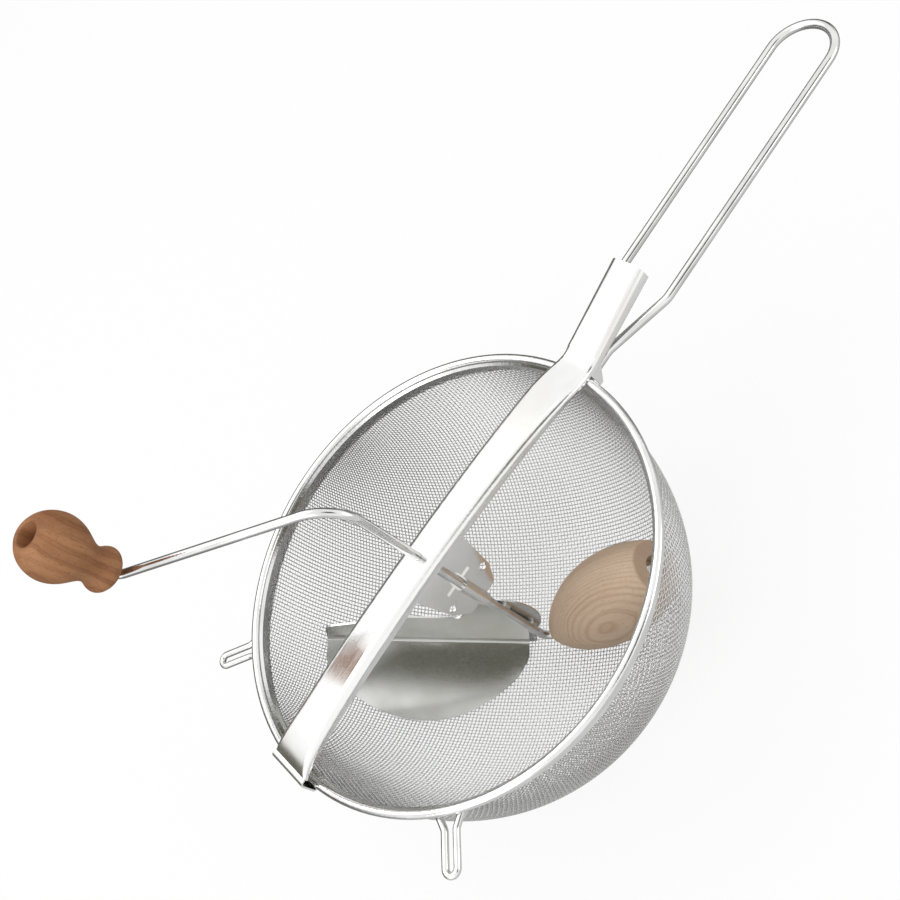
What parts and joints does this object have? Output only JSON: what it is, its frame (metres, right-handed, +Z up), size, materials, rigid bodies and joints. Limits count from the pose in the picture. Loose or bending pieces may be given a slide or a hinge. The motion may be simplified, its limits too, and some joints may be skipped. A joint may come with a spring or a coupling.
{
  "type": "tomato strainer with crank",
  "caption": "Hand cranked strainer: a mesh bowl with pot hooks and a wire loop handle, a clamped crossbar, and a crank that turns a beech roller and a sheet scraper",
  "frame": {"origin": "on the axis of the bowl and the crank, in the plane where the hook loops and the handle lie on a pot's edge", "axes": "+Z up along the axis of the bowl; +X along the wire handle, away from the bowl; +Y completes a right-handed frame"},
  "size_m": [0.3812, 0.1998, 0.219],
  "materials": {
    "mesh": "tinned wire cloth, satin",
    "tinned_wire": "bright tinned wire",
    "tinned_band": "bright tinned rim band",
    "tinned_sheet": "bright tinned sheet with a soft hand-wiped ripple",
    "solder": "dull tin solder",
    "beech_pale": "raw turned beech, pale",
    "beech_warm": "turned beech, warmer and handled"
  },
  "bodies": {
    "sieve": {"mesh_bowl": "mesh", "rim_wire": "tinned_wire", "rim_band": "tinned_band", "hook_far": "tinned_wire", "hook_near": "tinned_wire", "handle_wire": "tinned_wire", "crossbar": "tinned_sheet", "bearing_plate": "tinned_sheet", "bearing_strap": "tinned_sheet"},
    "crank": {"crank_wire": "tinned_wire", "scraper": "tinned_sheet", "scraper_tacks": "solder", "roller_washer": "tinned_sheet", "knob_washer": "tinned_sheet"},
    "roller": {"roller": "beech_pale"},
    "knob": {"knob": "beech_warm"}
  },
  "joints": [
    {"name": "crank_spin", "type": "hinge", "parent": "sieve", "child": "crank", "pos_m": [0, 0, 0.02], "axis": [0, 0, 1], "continuous": true},
    {"name": "roller_spin", "type": "hinge", "parent": "crank", "child": "roller", "pos_m": [0, 0, -0.087], "axis": [0.6298, -0.6189, 0.4695], "continuous": true},
    {"name": "knob_spin", "type": "hinge", "parent": "crank", "child": "knob", "pos_m": [-0.07632, 0.075, 0.084], "axis": [0, 0, 1], "continuous": true}
  ]
}
